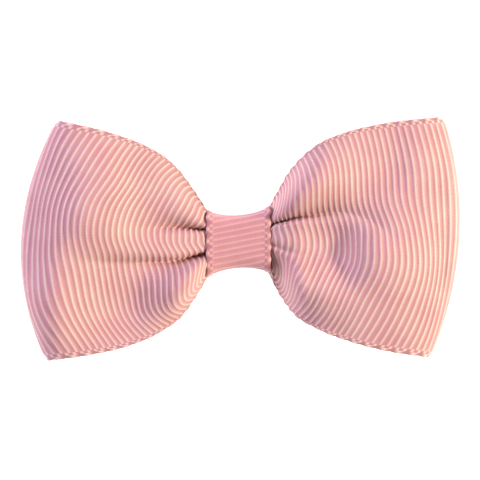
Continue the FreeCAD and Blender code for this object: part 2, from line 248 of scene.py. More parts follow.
left_loop = {
    "side": -1, "pinch": 5.0,
    "top": [(0.0, 3.7), (0.026, 4.8), (0.115, 8.1), (0.197, 10.7), (0.282, 12.6), (0.402, 14.3),
            (0.641, 16.4), (1.0, 18.4)],
    "bottom": [(0.0, -5.2), (0.02, -6.2), (0.09, -9.2), (0.155, -11.6), (0.3, -14.5), (0.49, -16.6),
               (0.73, -18.0), (1.0, -18.9)],
    "fold": [(-1.0, 30.1), (-0.13, fold_out), (1.0, 28.4)],
}
right_loop = {
    "side": 1, "pinch": 4.4,
    "top": [(0.0, 4.2), (0.033, 6.1), (0.074, 8.1), (0.115, 10.1), (0.167, 11.9), (0.285, 14.7),
            (0.426, 16.4), (0.65, 17.9), (1.0, 19.0)],
    "bottom": [(0.0, -4.6), (0.04, -7.0), (0.092, -9.3), (0.153, -11.4), (0.309, -14.0), (0.506, -15.9),
               (0.76, -17.5), (1.0, -18.4)],
    "fold": [(-1.0, 29.3), (0.12, fold_out), (1.0, 31.4)],
}
print("outer fold at", round(float(fold_out), 2), "mm from the middle")

# %% The place of one lengthwise strand
CORNER_ROUND = 0.3
CORNER_STARTS = 0.95
CROWDING = 2.3
CROWDING_FADES = 1.6


def plan_of(loop, out, strand):
    """Where a strand lies, seen from the front. out runs 0 to 1 from pinch to fold."""
    crowd = np.tanh(CROWDING * strand) / math.tanh(CROWDING)
    share = strand + (crowd - strand) * (1 - out) ** CROWDING_FADES
    top = smooth(loop["top"], out)
    bottom = smooth(loop["bottom"], out)
    knots, values = np.array(loop["fold"]).T
    fold = np.polyval(np.polyfit(knots, values, 2), strand)
    fold = fold - CORNER_ROUND * ease(CORNER_STARTS, 1.0, np.abs(strand))
    x = loop["pinch"] + out * (fold - loop["pinch"])
    return x, bottom + (top - bottom) * (share + 1) / 2, share


print("a middle strand leaves the pinch at y", round(float(plan_of(left_loop, 0.0, 0.0)[1]), 2), "mm")

# %% [markdown]
# ## How the ribbon billows
# From the pinch the front layer rises, rolls over soft humps and drops to the fold. Its heights could come
# from a cloth simulation, but a simulation left to itself is unlikely to settle into the folds of one
# particular bow. So the heights are pinned on a small net, nine places out from the pinch and six across,
# and the sheet runs smoothly over them. Heights are millimetres above the fold. The back layer gets a
# plainer net, because it lies nearly flat behind.

# %% Heights of the front and back layers
OUT_AT = (0.0, 1.7, 4.3, 7.3, 11.3, 15.3, 19.3, 23.3, 27.3)
ACROSS_AT = (-1.0, -0.6, -0.2, 0.2, 0.6, 1.0)
FOLD_Z = 12.3

left_loop["front"] = [
    (-1.8, -1.0, -0.2, 0.4, 1.0, 1.5, 2.0, 2.3, 1.6),
    (-0.5, 1.8, 2.8, 1.8, 0.6, 1.2, 2.6, 4.2, 3.8),
    (-0.3, 0.5, 1.2, 1.6, 2.1, 2.8, 3.6, 4.2, 2.8),
    (-0.3, 0.4, 0.9, 1.3, 2.4, 4.2, 5.0, 3.9, 2.0),
    (-0.4, 0.5, 1.2, 1.5, 2.3, 3.9, 4.0, 2.9, 1.6),
    (-1.4, -1.0, -0.4, 0.4, 1.2, 1.9, 2.3, 2.2, 1.4),
]
right_loop["front"] = [
    (-4.6, -3.8, 0.2, 1.6, 2.1, 2.4, 2.2, 1.8, 1.0),
    (-3.4, -2.2, 2.5, 3.3, 3.4, 3.5, 3.4, 2.7, 1.5),
    (-0.3, 0.6, 1.4, 1.1, 1.3, 4.2, 4.5, 3.4, 1.7),
    (-0.3, 0.8, 1.7, 1.9, 2.2, 2.7, 3.1, 2.8, 1.7),
    (-0.9, 0.9, 3.8, 4.4, 3.4, 2.5, 2.1, 2.5, 1.9),
    (-4.2, -3.4, 0.0, 1.9, 2.3, 2.1, 1.8, 1.8, 1.3),
]
back_net = [
    (-4.0, -3.8, -3.3, -2.8, -2.3, -2.0, -1.7, -1.4, -1.0),
    (-5.4, -5.2, -4.8, -4.4, -3.8, -3.2, -2.6, -1.9, -1.2),
    (-5.5, -5.3, -5.1, -4.9, -4.2, -3.5, -2.8, -2.1, -1.3),
    (-5.5, -5.3, -5.1, -4.9, -4.2, -3.5, -2.8, -2.1, -1.3),
    (-5.4, -5.2, -4.8, -4.4, -3.8, -3.2, -2.6, -1.9, -1.2),
    (-4.0, -3.8, -3.3, -2.8, -2.3, -2.0, -1.7, -1.4, -1.0),
]
print("tallest hump:", max(map(max, left_loop["front"] + right_loop["front"])), "mm above the fold")

# %% [markdown]
# ## The pleats
# The pinch gathers 38 mm of ribbon into a bundle 9 mm high, so it has to fold. Each crease is a
# line that starts at the wrap and fades on its way out, with a steep wall on one side, where a
# pleat lies over its neighbour, and an easy slope on the other. A crease is written as where it
# runs, how deep it is along the way, and how far its two slopes reach. The slopes are narrow at the
# wrap and widen on the way out, as the gathers open.

# %% Creases that start at the wrap
left_loop["creases"] = [
    {"line": [(4.7, 1.2), (9.3, 1.7), (15.0, 1.6), (22.0, 1.8)], "above": 1.2, "below": 0.6,
     "depth": [(4.7, 3.6), (7.0, 2.8), (9.5, 1.9), (13.0, 0.9), (17.0, 0.3), (21.0, 0.0)]},
    {"line": [(4.7, -1.9), (7.0, -2.5), (9.3, -3.1), (14.0, -3.5), (26.0, -3.3)],
     "above": 0.5, "below": 1.9,
     "depth": [(4.7, 4.2), (7.0, 3.4), (10.0, 2.4), (15.0, 1.5), (20.0, 0.9), (24.0, 0.3), (28.0, 0.0)]},
]
right_loop["creases"] = [
    {"line": [(4.7, 2.1), (8.9, 3.3), (13.0, 3.9), (17.8, 3.7), (21.4, 2.1), (25.0, -1.0)],
     "above": 1.1, "below": 0.5,
     "depth": [(4.7, 3.6), (7.0, 2.8), (10.0, 1.8), (14.0, 1.0), (18.0, 0.6), (22.0, 0.3), (25.0, 0.0)]},
    {"line": [(4.7, -0.7), (7.4, -1.9), (10.8, -3.2), (14.0, -4.6), (18.0, -5.8)],
     "above": 1.6, "below": 1.4,
     "depth": [(4.7, 0.9), (8.0, 0.5), (11.0, 0.25), (14.0, 0.1), (18.0, 0.0)]},
]
print("creases:", sum(len(loop["creases"]) for loop in (left_loop, right_loop)))

# %% How far a crease sinks the cloth
CREASE_WIDENS = 0.1
CREASE_POINT = 2.8
CREASE_SHARPNESS = 1.3


def crease_drop(creases, x, y):
    """How far the creases sink the cloth at a place. Their slopes widen from CREASE_POINT outwards."""
    drop = np.zeros_like(x)
    for crease in creases:
        off = y - smooth(crease["line"], x)
        reach = np.where(off > 0, crease["above"], crease["below"])
        reach = reach * CREASE_WIDENS * (x - CREASE_POINT)
        drop += np.maximum(smooth(crease["depth"], x), 0) * np.exp(-np.abs(off / reach) ** CREASE_SHARPNESS)
    return drop


beside_wrap = crease_drop(left_loop["creases"], np.array([6.0]), np.array([-2.2]))
print("beside the wrap the left loop's lower crease is", round(float(beside_wrap[0]), 1), "mm deep")

# %% [markdown]
# ## How the weave slips
# Grosgrain also gives a little on the bias: where it swells, the threads between selvedge and
# middle slide past each other, and the ribs lean. How far each thread has slipped is pinned on a
# net of its own, in millimetres, growing from nothing at the outer fold.

# %% Lag of the threads
LAG_ACROSS = (-1.0, -0.6, -0.24, -0.12, 0.05, 0.3, 0.6, 1.0)
LAG_OUT = (4.7, 12.0, 18.0, 24.0, 29.0, 33.0)
left_loop["lag"] = [
    (-1.5, -1.6, -1.7, -1.5, -0.7, 0.0),
    (-2.5, -2.7, -2.6, -2.2, -1.1, 0.0),
    (-1.2, -1.6, -1.4, -1.3, -0.5, 0.0),
    (-0.6, -1.0, -1.1, -0.8, -0.2, 0.0),
    (0.0, 0.0, -0.1, 0.0, 0.0, 0.0),
    (-0.4, -0.9, -0.4, 0.0, 0.3, 0.0),
    (-1.5, -1.7, -1.7, -0.7, 0.1, 0.0),
    (-1.6, -1.6, -1.6, -0.6, 0.4, 0.0),
]
right_loop["lag"] = [
    (-0.8, -0.8, -0.7, 0.3, 0.8, 0.0),
    (-0.8, -0.8, -0.7, 0.4, 0.9, 0.0),
    (-0.4, -0.4, 0.2, 0.8, 0.9, 0.0),
    (0.0, 0.1, 0.3, 0.6, 0.6, 0.0),
    (0.4, 0.4, 0.4, 0.3, 0.1, 0.0),
    (0.0, -0.2, -0.8, -0.9, -0.4, 0.0),
    (-0.3, -0.4, -0.9, -0.8, -0.2, 0.0),
    (-0.1, -0.1, 0.0, 0.0, 0.2, 0.0),
]
print("most slip:", min(map(min, left_loop["lag"] + right_loop["lag"])), "mm")

# %% [markdown]
# ## Laying the ribbon strand by strand
# Cloth bends but hardly stretches, so each lengthwise thread keeps its length. That decides where
# the ribs go: they are straight across the ribbon at the outer fold, and from there every thread
# is walked at the same pace over hump and crease. Threads that dip into a crease fall behind, and
# the ribs bend by themselves. The strip is laid from its cut end behind the waist, round the left
# fold, across the front, round the right fold and back to its other end behind the waist.

# %% Under the wrap
TIED = 0.74
WAIST_Y, WAIST_LEAN = -0.4, 0.04
WAIST_Z = 9.0
UNDER_WRAP = 0.2
PAST_MIDDLE = 4.0
INNER_SAMPLES = 36


def nip(x, y, z, pinch):
    """Draws the strands together under the wrap, towards the thread."""
    squeeze = TIED + (1 - TIED) * ease(0.0, pinch, np.abs(x))
    waist_y = WAIST_Y + WAIST_LEAN * x
    return waist_y + (y - waist_y) * squeeze, WAIST_Z + (z - WAIST_Z) * squeeze


print("the thread draws the waist in to", TIED, "of the pinch")

# %% One layer of a loop as strands, from the fold inwards
SAMPLES = 240
NOSE_POWER = 16
BACK_NARROWS = 0.03


def strands(loop, layer, strand):
    """Points on a layer from fold to middle, samples x strands x 3 in millimetres, and their lag."""
    out = np.sin(np.linspace(1.0, 0.0, SAMPLES) * math.pi / 2)[:, None] + np.zeros_like(strand)
    across = np.broadcast_to(strand, out.shape)
    x, y, share = plan_of(loop, out, across)
    nose = np.sqrt(np.clip(1 - out ** NOSE_POWER, 0, 1))
    if layer == "front":
        z = smooth_sheet(ACROSS_AT, OUT_AT, loop["front"], share, x - loop["pinch"])
        z = z - crease_drop(loop["creases"], x, y)
        lag = smooth_sheet(LAG_ACROSS, LAG_OUT, loop["lag"], share, x)
    else:
        z = smooth_sheet(ACROSS_AT, OUT_AT, back_net, share, x - loop["pinch"])
        y = y * (1 - BACK_NARROWS * (1 - out))
        lag = np.zeros_like(x)
    z = FOLD_Z + z * nose
    inward = np.linspace(loop["pinch"] - UNDER_WRAP, -PAST_MIDDLE, INNER_SAMPLES)[:, None]
    inward = inward + np.zeros_like(strand)
    last_y, last_z = np.broadcast_to(y[-1], inward.shape), np.broadcast_to(z[-1], inward.shape)
    inner_y, inner_z = nip(inward, last_y, last_z, loop["pinch"])
    x = np.concatenate([x, inward])
    y = np.concatenate([y, inner_y])
    z = np.concatenate([z, inner_z])
    lag = np.concatenate([lag, np.broadcast_to(lag[-1], inward.shape)])
    return np.stack([x * loop["side"], y, z], -1), lag


for loop in (left_loop, right_loop):
    thread = strands(loop, "front", np.array([[0.0]]))[0][:, 0]
    length = np.linalg.norm(np.diff(thread, axis=0), axis=1).sum()
    print("side", loop["side"], "middle thread", round(float(length), 1), "mm")

# %% Walk every strand at one pace
RIB_PITCH = 0.98
BOW_WIDTH = 38.0
ROWS_PER_RIB = 4
FRONT_RIBS = 35
BACK_RIBS = 37


def walked(path, lag, paces):
    """Each strand of a path, walked from its start and marked at the given distances."""
    steps = np.linalg.norm(np.diff(path, axis=0), axis=-1)
    gone = np.concatenate([np.zeros((1, path.shape[1])), np.cumsum(steps, axis=0)])
    gone = np.maximum.accumulate(gone + lag, axis=0)
    marks = np.empty((len(paces), path.shape[1], 3))
    for column in range(path.shape[1]):
        for axis in range(3):
            marks[:, column, axis] = np.interp(paces, gone[:, column], path[:, column, axis])
    return marks


front_paces = np.arange(FRONT_RIBS * ROWS_PER_RIB + 1) * RIB_PITCH / ROWS_PER_RIB
back_paces = np.arange(1, BACK_RIBS * ROWS_PER_RIB + 1) * RIB_PITCH / ROWS_PER_RIB
across_bow = columns_across(BOW_WIDTH * MM, fine=0.36 * MM, coarse=0.66 * MM, fine_half=5.0 * MM)
strand = (across_bow / (BOW_WIDTH * MM / 2))[None, :]
halves = {}
for loop in (left_loop, right_loop):
    front = walked(*strands(loop, "front", strand), front_paces)
    back = walked(*strands(loop, "back", strand), back_paces)
    halves[loop["side"]] = (front, back)
    ends = front[-1, :, 0] * loop["side"]
    print("side", loop["side"], "front ends at x", round(ends.min(), 2), "to", round(ends.max(), 2))

# %% [markdown]
# ## One strip
# A real bow is one strip, so the two loops are joined by a short bridge under the wrap. The two cut
# ends lie on top of each other behind the waist, so the left one steps down a little there and the
# right one steps up. Two separate loops would be simpler, but nothing would join them at the waist.

# %% Join the two loops into one strip
BRIDGE_ROWS = 18
BRIDGE_RIBS = 8
OVERLAP_STEP = 0.3
OVERLAP_STARTS, OVERLAP_FULL = -5.5, -2.5
BOW_CLOTH = 0.34 * MM
BOW_RIB = 0.105 * MM


def bow_grid():
    left_front, left_back = halves[-1]
    right_front, right_back = halves[1]
    t = np.linspace(0, 1, BRIDGE_ROWS + 2)[1:-1, None, None]
    bridge = left_front[-1] * (1 - t) + right_front[-1] * t
    left_back[..., 2] -= OVERLAP_STEP * ease(OVERLAP_STARTS, OVERLAP_FULL, left_back[..., 0])
    right_back[..., 2] += OVERLAP_STEP * ease(OVERLAP_STARTS, OVERLAP_FULL, -right_back[..., 0])
    rows = np.concatenate([left_back[::-1], left_front, bridge, right_front[::-1], right_back])
    back_turns = back_paces / RIB_PITCH
    front_turns = front_paces / RIB_PITCH
    bridge_turns = front_turns[-1] + np.linspace(0, BRIDGE_RIBS, BRIDGE_ROWS + 2)[1:-1]
    left_fold = back_turns[-1]
    right_fold = left_fold + 2 * front_turns[-1] + BRIDGE_RIBS
    turns = np.concatenate([
        left_fold - back_turns[::-1],
        left_fold + front_turns,
        left_fold + bridge_turns,
        right_fold - front_turns[::-1],
        right_fold + back_turns,
    ])
    return rows * MM, turns


bow_rows, bow_turns = bow_grid()
bow = woven("bow_ribbon", bow_rows, bow_turns, across_bow, BOW_WIDTH * MM, BOW_CLOTH, BOW_RIB)
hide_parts("left_loop", "right_loop", "gathered_waist")
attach(bow, "bow")

# %% [markdown]
# ## The centre wrap
# A narrower grosgrain ribbon goes once round the pinch and the clip's arm, and its end is glued
# behind. It is pulled tight, so it nips the waist in the middle and its edges flare a little. It
# could be a flattened ring, but a real strip has a start and an end, so this one starts above its
# own flap, goes round the front and comes back under itself. Every lengthwise strand is the same
# rounded box with its own size, walked at one pace from the middle of the front. It was wound by
# hand, so its ribs slant and it sits a little to the left.

# %% Sizes of the wrap
wrap_low, wrap_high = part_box("centre_wrap")
WRAP_WIDTH = round(wrap_high.x - wrap_low.x, 5)
WRAP_CLOTH = 0.34 * MM
WRAP_RIB = 0.06 * MM
WRAP_PITCH = 0.94 * MM
SKIN = WRAP_CLOTH / 2 + 1.3 * WRAP_RIB
NIP = 0.85 * MM
FLARE = 0.35 * MM
DIP = 0.22 * MM
TILT = 0.07
SLANT = math.tan(math.radians(7.0))
SHOULDER = 1.6 * MM
HEEL = 0.55 * MM
RING_OVER_FLAP = 0.85 * MM
START_PAST_MIDDLE = 2.4 * MM
FLAP_PAST_MIDDLE = 2.2 * MM
across_wrap = columns_across(WRAP_WIDTH, fine=0.45 * MM, coarse=0.5 * MM, fine_half=1.0 * MM)
print("wrap", round(WRAP_WIDTH / MM, 2), "mm wide, ribs", round(WRAP_PITCH / MM, 2), "mm apart")

# %% The path of the wrap, strand by strand
ARC_POINTS = 14


def arc(y, z, radius, start, end):
    """Points on an arc in the plane across the wrap, angles in degrees."""
    angle = np.radians(np.linspace(start, end, ARC_POINTS))
    return np.stack([y + radius * np.cos(angle), z + radius * np.sin(angle)], -1)


def wrap_strand(x):
    """One strand of the wrap as points across the bow: y and z, from its start to the flap's end."""
    flare = (x / (WRAP_WIDTH / 2)) ** 2
    middle = (wrap_low.y + wrap_high.y) / 2 + TILT * x
    half = (wrap_high.y - wrap_low.y) / 2 - SKIN - NIP * (1 - flare) + FLARE * flare ** 2
    front = wrap_high.z - SKIN - DIP * (1 - flare)
    flap = wrap_low.z + SKIN
    ring = flap + RING_OVER_FLAP
    above, below = middle + half, middle - half
    return np.concatenate([
        [[middle + START_PAST_MIDDLE, ring]],
        arc(below + HEEL, ring + HEEL, HEEL, 270, 180),
        arc(below + SHOULDER, front - SHOULDER, SHOULDER, 180, 90),
        arc(above - SHOULDER, front - SHOULDER, SHOULDER, 90, 0),
        arc(above - HEEL, flap + HEEL, HEEL, 0, -90),
        [[middle - FLAP_PAST_MIDDLE, flap]],
    ])


print("a strand of the wrap has", len(wrap_strand(0.0)), "points")

# %% Walk the wrap's strands from the middle of the front
FRONT = slice(1 + ARC_POINTS, 1 + 3 * ARC_POINTS)
WRAP_ROWS_PER_RIB = 6
ROWS_EACH_WAY = 116
WRAP_SHIFT = 0.3 * MM
CROWN = 0.3 * MM
CROWN_STARTS, CROWN_FULL = 10 * MM, 12 * MM


def wrap_grid():
    paces = np.arange(-ROWS_EACH_WAY, ROWS_EACH_WAY + 1) * WRAP_PITCH / WRAP_ROWS_PER_RIB
    rows = np.empty((len(paces), len(across_wrap), 3))
    for column, x in enumerate(across_wrap):
        points = wrap_strand(x)
        gone = np.concatenate([[0], np.cumsum(np.linalg.norm(np.diff(points, axis=0), axis=1))])
        front = np.interp(0, points[FRONT, 0] - points[FRONT, 0].mean(), gone[FRONT])
        rows[:, column, 0] = x - WRAP_SHIFT
        rows[:, column, 1] = np.interp(front + paces, gone, points[:, 0])
        rows[:, column, 2] = np.interp(front + paces, gone, points[:, 1])
    crown = ((rows[..., 1] - rows[..., 1].mean()) / (wrap_high.y - wrap_low.y) * 2) ** 2
    rows[..., 2] -= CROWN * crown * ease(CROWN_STARTS, CROWN_FULL, rows[..., 2])
    return rows, paces / WRAP_PITCH


wrap_rows, wrap_turns = wrap_grid()
wrap_length = float((wrap_turns[-1] - wrap_turns[0]) * WRAP_PITCH)
wrap = woven("centre_wrap_ribbon", wrap_rows, wrap_turns, across_wrap, WRAP_WIDTH,
             WRAP_CLOTH, WRAP_RIB, skew=-SLANT / WRAP_PITCH)
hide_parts("centre_wrap")
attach(wrap, "bow")
print("wrap length", round(wrap_length / MM, 1), "mm")

# %% [markdown]
# ## The lining of the clip
# Makers glue a strip of the same ribbon along the upper arm, round its tip and a little way back
# underneath, so that the steel is hidden and the clip grips hair. The strip follows the arm, so
# the arm itself is asked where its top and underside are, by casting rays at the CAD mesh.

# %% Lay the lining on the arm
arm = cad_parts["clip_top_arm"]
arm_low, arm_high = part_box("clip_top_arm")
LINING_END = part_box("clip_lining")[1].x
LINING_CLOTH = 0.22 * MM
LINING_RIB = 0.045 * MM
LINING_LIFT = 0.2 * MM
LINING_WIDTH = arm_high.y - arm_low.y
LINING_ROWS_PER_RIB = 5
ARM_Y = (arm_low.y + arm_high.y) / 2
UNDER_END = -8.0 * MM
TIP_INSET = 0.25 * MM
OVER_POINTS, UNDER_POINTS, BEND_POINTS = 60, 30, 12
RAY_GAP = 5 * MM


def arm_face(x, above):
    """The height of the arm's top or underside at x, found by a ray that starts outside the arm."""
    start = arm_high.z + RAY_GAP if above else arm_low.z - RAY_GAP
    hit, place, _, _ = arm.ray_cast((x, ARM_Y, start), (0, 0, -1 if above else 1))
    return place.z if hit else float("nan")


def lining_path():
    """The lining's middle line: over the arm, round its tip and a little way back."""
    tip = arm_low.x + TIP_INSET
    over = [(x, arm_face(x, True) + LINING_LIFT) for x in np.linspace(LINING_END, tip, OVER_POINTS)]
    under = [(x, arm_face(x, False) - LINING_LIFT) for x in np.linspace(tip, UNDER_END, UNDER_POINTS)]
    high, low = over[-1][1], under[0][1]
    turn = np.radians(np.linspace(90, 270, BEND_POINTS)[1:-1])
    nose = (high - low) / 2
    bend = [(tip + nose * math.cos(a), (high + low) / 2 + nose * math.sin(a)) for a in turn]
    return np.array(over + bend + under)


def lining_grid():
    path = lining_path()
    gone = np.concatenate([[0], np.cumsum(np.linalg.norm(np.diff(path, axis=0), axis=1))])
    paces = np.arange(0, gone[-1], RIB_PITCH * MM / LINING_ROWS_PER_RIB)
    across = columns_across(LINING_WIDTH, fine=0.7 * MM, coarse=0.7 * MM, fine_half=0.7 * MM)
    rows = np.empty((len(paces), len(across), 3))
    rows[..., 0] = np.interp(paces, gone, path[:, 0])[:, None]
    rows[..., 1] = ARM_Y - across
    rows[..., 2] = np.interp(paces, gone, path[:, 1])[:, None]
    return rows, paces / (RIB_PITCH * MM), across


lining = woven("lining_ribbon", *lining_grid(), LINING_WIDTH, LINING_CLOTH, LINING_RIB)
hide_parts("clip_lining")
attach(lining, "bow")

# %% [markdown]
# ## The spring
# A small torsion spring sits on the pin, and its two legs push the finger tabs apart. It is wire, so it is
# drawn as one line, leg, coil and leg, with a round section. One leg belongs to the arm and the other to the
# prong.

# %% The spring's wire as a line
pin_low, pin_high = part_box("clip_pin")
PIN_X, PIN_Z = (pin_low.x + pin_high.x) / 2, (pin_low.z + pin_high.z) / 2
WIRE = 0.6 * MM
COILS = 4.5
COIL_RADIUS = 1.25 * MM
COIL_PITCH = 0.66 * MM
LEG = 8 * MM
LEG_UP, LEG_DOWN = 17.0, 5.0
COIL_POINTS, LEG_POINTS = 150, 8


def wire_line():
    """Points along the wire: the arm's leg, the coil and the prong's leg."""
    turned = COILS * 360 - LEG_UP - LEG_DOWN
    angle = np.radians(90 + LEG_UP + np.linspace(0, turned, COIL_POINTS))
    lead = COIL_PITCH / (2 * math.pi)
    side = ARM_Y + lead * (math.radians(turned) / 2 - (angle - angle[0]))
    coil = np.stack([PIN_X + COIL_RADIUS * np.cos(angle), side, PIN_Z + COIL_RADIUS * np.sin(angle)], -1)
    lean = lead / COIL_RADIUS
    up = np.array([math.cos(math.radians(LEG_UP)), lean, math.sin(math.radians(LEG_UP))])
    down = np.array([math.cos(math.radians(LEG_DOWN)), -lean, -math.sin(math.radians(LEG_DOWN))])
    far = np.linspace(1, 0.05, LEG_POINTS)[:, None] * LEG
    return np.concatenate([coil[0] + up * far, coil, coil[-1] + down * far[::-1]])


print("wire length", round(float(np.linalg.norm(np.diff(wire_line(), axis=0), axis=1).sum() / MM)), "mm")


def rod(name, points, thickness):
    """A round wire along a line of points, as a mesh."""
    curve = bpy.data.curves.new(name, "CURVE")
    curve.dimensions = "3D"
    line = curve.splines.new("POLY")
    line.points.add(len(points) - 1)
    for point, place in zip(line.points, points):
        point.co = (*place, 1.0)
    curve.bevel_depth = thickness / 2
    curve.bevel_resolution = 3
    curve.use_fill_caps = True
    drawn = bpy.data.objects.new(name + "_line", curve)
    mesh = bpy.data.meshes.new_from_object(drawn)
    bpy.data.objects.remove(drawn)
    return put(name, shaded_smooth(mesh))


spring = rod("spring_wire", wire_line(), WIRE)
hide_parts("clip_spring")
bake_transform(spring)
print("spring wire has", len(spring.data.polygons), "faces")

# %% [markdown]
# ## Shader maths in plain Python
# A material is a little network of nodes. Written out node by node it is hard to read, so a small
# class holds a socket and answers to the usual signs, and an expression such as 1 - mask adds its
# Math nodes itself. Everything that isn't arithmetic comes from one method of the finish.

# %% A socket that can be added and multiplied
class Value:
    def __init__(self, finish, socket):
        self.finish, self.socket = finish, socket

    def math(self, operation, *others):
        return self.finish.node("ShaderNodeMath", {"operation": operation}, dict(enumerate((self, *others))))

    def __add__(self, other):
        return self.math("ADD", other)

    def __sub__(self, other):
        return self.math("SUBTRACT", other)

    def __rsub__(self, other):
        return self.finish.node("ShaderNodeMath", {"operation": "SUBTRACT"}, {0: other, 1: self})

    def __mul__(self, other):
        return self.math("MULTIPLY", other)

    def __pow__(self, other):
        return self.math("POWER", other)

    __radd__, __rmul__ = __add__, __mul__

    def ramp(self, low, high):
        """0 at low, 1 at high, eased between."""
        return self.finish.node("ShaderNodeMapRange", {"interpolation_type": "SMOOTHSTEP"},
                                {"Value": self, "From Min": low, "From Max": high})


print("reflected signs:", ", ".join(sign for sign in vars(Value) if sign.startswith("__r")))

# %% A finish: one material and the method that adds its nodes
class Finish:
    def __init__(self, name):
        self.material = bpy.data.materials.new(name)
        self.material.use_nodes = True
        self.tree = self.material.node_tree
        self.tree.nodes.clear()

    def node(self, kind, settings=None, sockets=None, out=0):
        """Adds a node: its settings, then its sockets by name or number. Returns one of its outputs."""
        node = self.tree.nodes.new(kind)
        for name, setting in (settings or {}).items():
            setattr(node, name, setting)
        for key, value in (sockets or {}).items():
            socket = node.inputs[key]
            if isinstance(value, Value):
                self.tree.links.new(value.socket, socket)
            else:
                socket.default_value = value
        return Value(self, node.outputs[out]) if node.outputs else None

    def place(self):
        return self.node("ShaderNodeTexCoord", out="Object")

    def part(self, vector, axis):
        """One number of a vector: 0, 1 or 2."""
        return self.node("ShaderNodeSeparateXYZ", None, {"Vector": vector}, out=axis)

    def noise(self, size, detail=3.0, roughness=0.5, at=None):
        """Soft noise whose spots are about as large as size, in metres."""
        sockets = {"Vector": at or self.place(), "Scale": 1 / size, "Detail": detail, "Roughness": roughness}
        return self.node("ShaderNodeTexNoise", None, sockets)

    def mix(self, share, first, second):
        return self.node("ShaderNodeMix", {"data_type": "RGBA"}, {0: share, 6: first, 7: second}, out=2)

    def bump(self, height, distance):
        return self.node("ShaderNodeBump", None, {"Height": height, "Distance": distance})

    def surface(self, **sockets):
        named = {name.replace("_", " "): value for name, value in sockets.items()}
        shader = self.node("ShaderNodeBsdfPrincipled", None, named)
        self.node("ShaderNodeOutputMaterial", None, {"Surface": shader})
        return self.material


def tone(red, green, blue):
    """A colour from the 0 to 255 numbers of a colour card, as light."""
    card = np.array([red, green, blue]) / 255
    light = np.where(card <= 0.04045, card / 12.92, ((card + 0.055) / 1.055) ** 2.4)
    return (*light.tolist(), 1.0)


print("dusty rose is", [round(c, 3) for c in tone(230, 158, 158)])

# %% [markdown]
# ## The grosgrain finish
# The cloth is dyed a dusty rose. The finish paints each rib's crest paler and creamy, a painted highlight
# where the crest catches light, and the groove between two ribs a deeper rose, a painted shade. The fine
# lengthwise threads tie the ribs down in tiny steps, and the flat selvedge is a shade calmer, its loops and
# ties painted with the same creamy highlight. The ribs are geometry already, so the finish only colours
# them, from a map that counts ribs along the strip and millimetres across it.

# %% The weave as values
THREAD_PITCH = 0.21
RIB_WOBBLE, THREAD_WOBBLE = 0.9, 2.0
SELVEDGE_STARTS, SELVEDGE_FULL = 1.0, 0.8
LOOPS_START, LOOPS_FULL = 0.6, 0.4


def weave_of(cloth, width):
    """Rib, thread, selvedge and bead of a cloth of this width in millimetres, each from 0 to 1."""
    weave = cloth.node("ShaderNodeUVMap", {"uv_map": "weave"})
    turns, across = cloth.part(weave, 0), cloth.part(weave, 1)
    grain = cloth.noise(0.25 * MM, 2.0)
    rib = (turns * (2 * math.pi) + (grain - 0.5) * RIB_WOBBLE).math("COSINE") * 0.5 + 0.5
    thread_angle = across * (2 * math.pi / THREAD_PITCH) + (grain - 0.5) * THREAD_WOBBLE
    thread = thread_angle.math("SINE") * 0.5 + 0.5
    out = across.math("ABSOLUTE")
    edge = out.ramp(width / 2 - SELVEDGE_STARTS, width / 2 - SELVEDGE_FULL)
    rim = out.ramp(width / 2 - LOOPS_START, width / 2 - LOOPS_FULL)
    turn_back = (turns * math.pi).math("COSINE") * across.math("SIGN") * 0.5 + 0.5
    bead = turn_back * rim + (1 - rib) * (1 - rim)
    return rib, thread, edge, bead, grain


print("lengthwise threads to the millimetre:", round(1 / THREAD_PITCH, 1))

# %% Dye the ribbons and paint light and shade on their ribs
THREAD_SHOWS = 0.10
DYE_WANDERS = 0.35
PLAIN_CLOTH = 0.6
SELVEDGE_COVERS = 0.9


def grosgrain(name, width, crest, groove, selvedge, contrast, warp_bump):
    """Dyed grosgrain with painted light on its ribs. contrast is how much paler its crests are painted than
    its grooves, a painted highlight on the crests and painted shade in the grooves.
    """
    cloth = Finish(name)
    rib, thread, edge, bead, grain = weave_of(cloth, width)
    wander = cloth.noise(5 * MM, 2.0)
    # Painted light on the ribs: each crest is painted paler and creamy as a highlight and each groove a
    # deeper rose as shade; the thread ties and the wandering dye are the cloth's own colour changes.
    painted_rib_light_and_dye = (rib ** 4) * contrast + (1 - contrast) * PLAIN_CLOTH
    painted_rib_light_and_dye = painted_rib_light_and_dye + (thread - 0.5) * THREAD_SHOWS + (wander - 0.5) * DYE_WANDERS
    dye_and_painted_shading = cloth.mix(painted_rib_light_and_dye, groove, crest)
    # The selvedge keeps its own rose, and its loops and ties are painted with the creamy crest highlight.
    dye_and_painted_shading = cloth.mix(edge * SELVEDGE_COVERS, dye_and_painted_shading, cloth.mix(bead ** 2, selvedge, crest))
    height = thread * 0.35 + grain * 0.5
    return cloth.surface(
        Base_Color=dye_and_painted_shading, Roughness=0.60 - rib * 0.16, Specular_IOR_Level=0.55,
        Sheen_Weight=0.12, Sheen_Roughness=0.45, Sheen_Tint=(1.0, 0.86, 0.82, 1.0),
        Normal=cloth.bump(height, warp_bump),
    )


